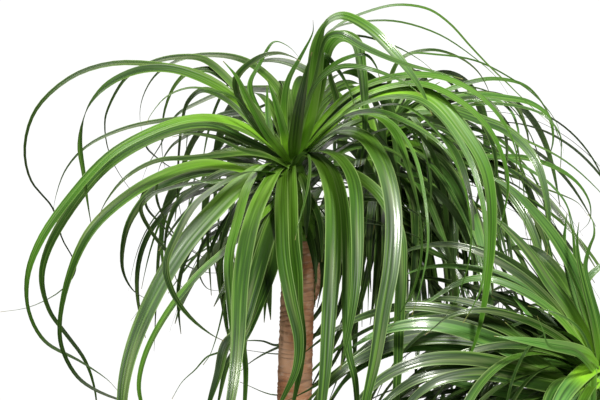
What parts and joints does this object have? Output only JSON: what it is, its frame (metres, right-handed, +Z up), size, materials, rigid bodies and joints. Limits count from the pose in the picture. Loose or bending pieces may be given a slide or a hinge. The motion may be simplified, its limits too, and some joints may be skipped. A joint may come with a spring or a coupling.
{
  "type": "potted ponytail palm",
  "caption": "Potted ponytail palm: heads of long arching strap leaves on ringed canes that rise from a swollen base in a plain round clay pot.",
  "frame": {"origin": "centre of the pot's flat foot, on the surface that it stands on", "axes": "+Z up the plant, -Y towards the viewer of the picture, +X to the viewer's right"},
  "size_m": [0.9449, 0.9459, 1.1205],
  "materials": {
    "clay": "unglazed, matt",
    "soil": "loose potting mix, matt",
    "bark": "ringed bark, matt",
    "leaf": "smooth waxy leaf, satin to glossy"
  },
  "bodies": {
    "root": {"pot": "clay", "soil": "soil", "trunk": "bark", "main_crown_leaves": "leaf", "rear_crown_leaves": "leaf", "low_crown_leaves": "leaf"}
  },
  "joints": []
}
